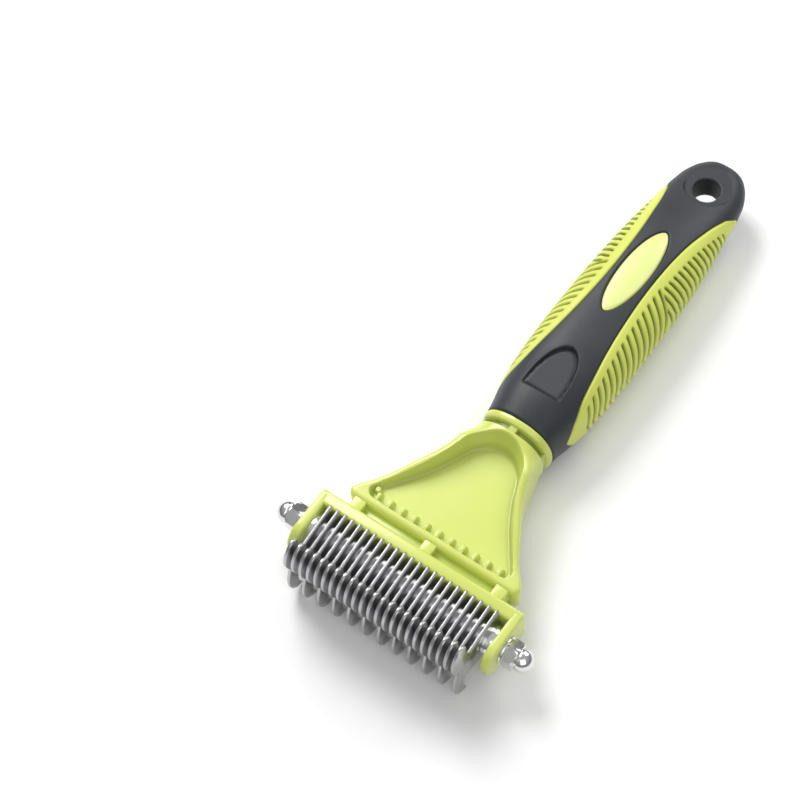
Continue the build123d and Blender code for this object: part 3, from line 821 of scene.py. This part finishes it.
AXLE_R = 2.5
AXLE_HALF = 43.4
AXLE_CHAMFER = 0.5
THREAD_FROM = 35.0
THREAD_PITCH = 0.8
THREAD_DEPTH = 0.16
thread_x = np.arange(THREAD_FROM, AXLE_HALF - AXLE_CHAMFER, THREAD_PITCH / 4)
thread_r = AXLE_R - THREAD_DEPTH * (0.5 - 0.5 * np.cos(2 * math.pi * thread_x / THREAD_PITCH))
axle_tip = [(AXLE_HALF - AXLE_CHAMFER, AXLE_R - 0.1), (AXLE_HALF, AXLE_R - AXLE_CHAMFER),
            (AXLE_HALF, 0.0)]
right_end = np.concatenate([np.stack([thread_x, thread_r], -1), axle_tip])
axle_profile = np.concatenate([(right_end * (-1, 1))[::-1], right_end])
axle_steel = worked_steel("axle_drawn_steel", (0.56, 0.56, 0.57, 1), (0.34, 0.33, 0.32, 1), 0.26,
                          (8, 1, 1), 300, 0.3, 0.000008)
make_piece("axle_rod", [turned(axle_profile)], axle_steel, "tool", ["axle"], 40)

# ---- blades ----
# Twenty-three stamped stainless blades, threaded on the axle side by side. Every one has
# a curved claw up for the fine row; every other one also has a hook below for the coarse
# row. The blunt edges are ground bright, and the faces keep the grey of the rolled sheet.

BLADE_COUNT = 23
BLADE_T = 1.0
SPACER_T = 1.72
PITCH = BLADE_T + SPACER_T
BLADE_BACK = 5.8
BLADE_TOP_Z = 9.2
HEEL = (-4.4, -6.3)
WAIST = (-15.7, 2.6)
FINE_TIP = (-10.6, 14.0)
COARSE_TIP = (-11.7, -12.2)
FINE_INNER = [(-8.9, 6.8), (-9.9, 8.6), (-10.5, 11.2), FINE_TIP]
FINE_OUTER = [FINE_TIP, (-11.3, 15.3), (-12.5, 15.8), (-13.9, 15.5), (-15.3, 14.3), (-16.6, 12.2),
              (-17.3, 9.7), (-17.3, 7.2), (-16.7, 4.8), WAIST]
COARSE_OUTER = [WAIST, (-16.3, 0.6), (-16.9, -1.7), (-17.3, -4.2), (-17.2, -6.6), (-16.5, -8.9),
                (-15.1, -10.8), (-13.4, -11.9), COARSE_TIP]
COARSE_INNER = [COARSE_TIP, (-12.5, -10.3), (-13.0, -8.4), (-13.1, -6.4), (-12.6, -4.6),
                (-11.0, -3.5), (-8.9, -3.9), (-6.6, -5.1), HEEL]
SINGLE_UNDER = [WAIST, (-15.2, 0.9), (-14.2, -0.6), (-12.6, -1.7), (-9.8, -3.1), (-7.0, -4.8), HEEL]
BLADE_ROUND = 0.15
BLADE_EDGE_T = 0.42


def blade_outline(stretches):
    """(y, z) outline of a blade: its curved stretches, then the straight heel and back with their
    corners cut."""
    curved = [curve_through(points, 4 * len(points))[:-1] for points in stretches]
    cut = 0.4
    back = np.array([HEEL, (BLADE_BACK - cut, HEEL[1]), (BLADE_BACK, HEEL[1] + cut),
                     (BLADE_BACK, BLADE_TOP_Z - cut), (BLADE_BACK - cut, BLADE_TOP_Z - 0.08)])
    return np.concatenate(curved + [back])


double_outline = blade_outline([FINE_INNER, FINE_OUTER, COARSE_OUTER, COARSE_INNER])
single_outline = blade_outline([FINE_INNER, FINE_OUTER, SINGLE_UNDER])
sheet_steel = worked_steel("blade_rolled_steel", (0.52, 0.52, 0.53, 1), (0.28, 0.28, 0.28, 1), 0.24,
                           (1, 0.25, 3), 700, 0.45, 0.000006)
blade_x = (np.arange(BLADE_COUNT) - (BLADE_COUNT - 1) / 2) * PITCH
for kind, outline, first in (("double", double_outline, 0), ("single", single_outline, 1)):
    numbers = range(first, BLADE_COUNT, 2)
    plates = [rounded_plate(outline, blade_x[i] - BLADE_T / 2, blade_x[i] + BLADE_T / 2, BLADE_ROUND,
                            along=BLADE_EDGE_T) for i in numbers]
    make_piece(f"blades_{kind}", plates, sheet_steel, "tool",
               [f"blade_{i + 1:02d}" for i in numbers], 40)

# ---- spacers ----
# Chromed steel rings that hold the blades apart, with a wider one at each end that takes
# up the room to the ear. Polished bright, so they mirror the blades beside them.

SPACER_R = 4.6
END_SPACER_R = 5.2
ROW_HALF = (BLADE_COUNT - 1) * PITCH / 2 + BLADE_T / 2
BORE_R = 2.6


def ring_profile(x0, x1, radius, bore, edge):
    """Closed (x, radius) outline of a ring with rounded outer edges."""
    near = edge * 0.3
    return [(x0, bore), (x0, radius - edge), (x0 + near, radius - near), (x0 + edge, radius),
            (x1 - edge, radius), (x1 - near, radius - near), (x1, radius - edge), (x1, bore), (x0, bore)]


spacer_chrome = worked_steel("spacer_polished_chrome", (0.92, 0.92, 0.93, 1), (0.62, 0.63, 0.65, 1),
                             0.05, (14, 1, 1), 260, 0.10, 0.000001)
spacer_x = blade_x[:-1] + BLADE_T / 2
row_rings = [turned(ring_profile(x, x + SPACER_T, SPACER_R, BORE_R, 0.15)) for x in spacer_x]
make_piece("row_spacers", row_rings, spacer_chrome, "tool",
           [f"spacer_{i + 1:02d}" for i in range(BLADE_COUNT - 1)], 40)
for side, way in (("right", 1), ("left", -1)):
    ring, faces, shade = turned(ring_profile(ROW_HALF, EAR_IN, END_SPACER_R, BORE_R, 0.3))
    make_piece(f"end_spacer_{side}", [(ring * (way, 1, 1), faces, shade)], spacer_chrome, "tool",
               [f"end_spacer_{side}"], 40)

# ---- washers and cap nuts ----
# A plain washer and an acorn nut at each end of the axle: a hexagon with its corners
# turned off, under a polished dome. Bright nickel-chrome plate over brass.

WASHER_R = 4.7
WASHER_T = 0.8
NUT_FLATS = 8.0
NUT_HEX_T = 4.0
NUT_H = 8.8
NUT_DOME_R = 3.75
NUT_BORE = 2.55
NUT_BORE_DEPTH = 6.4
nut_chrome = worked_steel("nut_plated_chrome", (0.82, 0.82, 0.82, 1), (0.46, 0.45, 0.43, 1), 0.09,
                          (6, 1, 1), 320, 0.25, 0.000002)
seat_x = EAR_OUT + WASHER_T
flank_x = np.array([0, 0.0, 0.12, 0.6, 2.0, 3.4, 3.9, NUT_HEX_T])
flank_r = np.array([NUT_BORE, 3.9, 4.15, 4.7, 4.75, 4.7, 4.15, 3.75])
collar_run = np.array([(NUT_HEX_T + 0.1, 3.55), (NUT_HEX_T + 0.35, 3.5),
                       (NUT_H - NUT_DOME_R - 0.1, 3.68)])
dome_turn = np.linspace(0, math.pi / 2, 12)
dome = np.stack([NUT_H - NUT_DOME_R + NUT_DOME_R * np.sin(dome_turn), NUT_DOME_R * np.cos(dome_turn)], -1)
bore_run = np.array([(NUT_BORE_DEPTH, 0.0), (NUT_BORE_DEPTH, NUT_BORE), (0.0, NUT_BORE)])
nut_profile = np.concatenate([bore_run, np.stack([flank_x, flank_r], -1), collar_run, dome])
nut_turn = np.linspace(0, 2 * math.pi, 144, endpoint=False)
flat_r = NUT_FLATS / 2 / np.cos((nut_turn + math.pi / 6) % (math.pi / 3) - math.pi / 6)
on_hex = ((nut_profile[:, 0] <= NUT_HEX_T) & (nut_profile[:, 1] > NUT_BORE))[:, None]
nut_r = np.where(on_hex, soft_min(nut_profile[:, 1:], flat_r[None, :], 0.12), nut_profile[:, 1:])
nut_x = np.broadcast_to(nut_profile[:, :1] + seat_x, nut_r.shape)
nut = np.stack([nut_x, nut_r * np.cos(nut_turn), nut_r * np.sin(nut_turn)], -1)
nut_faces = grid_faces(nut.shape[0], nut.shape[1], True)
washer, washer_faces, _ = turned(ring_profile(EAR_OUT, seat_x, WASHER_R, NUT_BORE, 0.2))
for side, way in (("right", 1), ("left", -1)):
    make_piece(f"washer_{side}", [(washer * (way, 1, 1), washer_faces, 0.0)], nut_chrome,
               f"{side}_washer", [f"washer_{side}"], 40)
    make_piece(f"cap_nut_{side}", [(nut * (way, 1, 1), nut_faces, 0.0)], nut_chrome,
               f"{side}_nut", [f"cap_nut_{side}"], 32)

# ---- table, light and camera ----
# A pale matt table top under the tool, three soft boxes and a bright room. The camera looks
# down from the right of the head, rolled a little, with a long lens.

TABLE_HALF = 1.5
table_z = min(cad_low[2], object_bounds()[0][2])
table_plan = TABLE_HALF * np.array([(-1, -1), (1, -1), (1, 1), (-1, 1)])
floor_mesh = bpy.data.meshes.new("table_top")
floor_mesh.from_pydata([(x, y, table_z) for x, y in table_plan.tolist()], [], [(0, 1, 2, 3)])
pale = Finish("pale_table", {"Roughness": 0.6})
pale_cloud = pale.noise(pale.place(), 6, 3)
pale.feed({"Base Color": pale.mix(pale_cloud * 0.2, (0.95, 0.95, 0.95, 1), (0.90, 0.90, 0.91, 1))})
floor_mesh.materials.append(pale.material)
table_top = bpy.data.objects.new("table_top", floor_mesh)
bpy.context.scene.collection.objects.link(table_top)

room = bpy.data.worlds.new("room")
room.use_nodes = True
sky = Nodes(room.node_tree)
ROOM_LIGHT = 0.46
looking = sky.node("ShaderNodeTexCoord", {}, {}, "Generated")
upward = sky.node("ShaderNodeSeparateXYZ", {}, {0: looking}, "Z")
ceiling = [(0.0, (0.28, 0.28, 0.29, 1)), (0.85, (1.0, 1.0, 1.0, 1))]
background = sky.tree.nodes["Background"]
room_colour = sky.node("ShaderNodeValToRGB", {"stops": ceiling}, {0: upward})
sky.fill(background.inputs["Color"], room_colour)
sky.fill(background.inputs["Strength"], ROOM_LIGHT)
bpy.context.scene.world = room
middle = (cad_low + cad_high) / 2


def soft_box(name, away, size, power):
    """Square area light at `away` metres from the middle of the tool, facing it."""
    light = bpy.data.lights.new(name, "AREA")
    light.size = size
    light.energy = power
    box = bpy.data.objects.new(name, light)
    box.location = middle + Vector(away)
    box.rotation_mode = "QUATERNION"
    box.rotation_quaternion = (-Vector(away)).to_track_quat("-Z", "Y")
    bpy.context.scene.collection.objects.link(box)


soft_box("key_box", (-0.55, 0.25, 0.65), 0.45, 6.2)
soft_box("fill_box", (0.5, -0.5, 0.7), 0.8, 2.6)
soft_box("back_box", (0.1, 0.8, 0.6), 0.5, 3.2)

AZIMUTH = math.radians(40.517)
ELEVATION = math.radians(60.567)
ROLL = math.radians(-5.397)
CAMERA_AWAY = 0.8
SENSOR = 36.0
FOCAL = 117.7794
AIM_FROM_AXLE = (-0.0374, 0.05004, 0.0)
aim = Vector(AXLE) + Vector(AIM_FROM_AXLE)
back = Vector((math.sin(AZIMUTH) * math.cos(ELEVATION), -math.cos(AZIMUTH) * math.cos(ELEVATION),
               math.sin(ELEVATION)))
level_right = Vector((math.cos(AZIMUTH), math.sin(AZIMUTH), 0))
level_up = back.cross(level_right)
right = level_right * math.cos(ROLL) + level_up * math.sin(ROLL)
up = level_up * math.cos(ROLL) - level_right * math.sin(ROLL)
lens = bpy.data.cameras.new("camera")
lens.lens = FOCAL
lens.sensor_width = SENSOR
camera = bpy.data.objects.new("camera", lens)
facing = Matrix((right, up, back)).transposed().to_4x4()
camera.matrix_world = Matrix.Translation(aim + back * CAMERA_AWAY) @ facing
bpy.context.scene.collection.objects.link(camera)
bpy.context.scene.camera = camera
bpy.context.scene.view_settings.view_transform = "Standard"
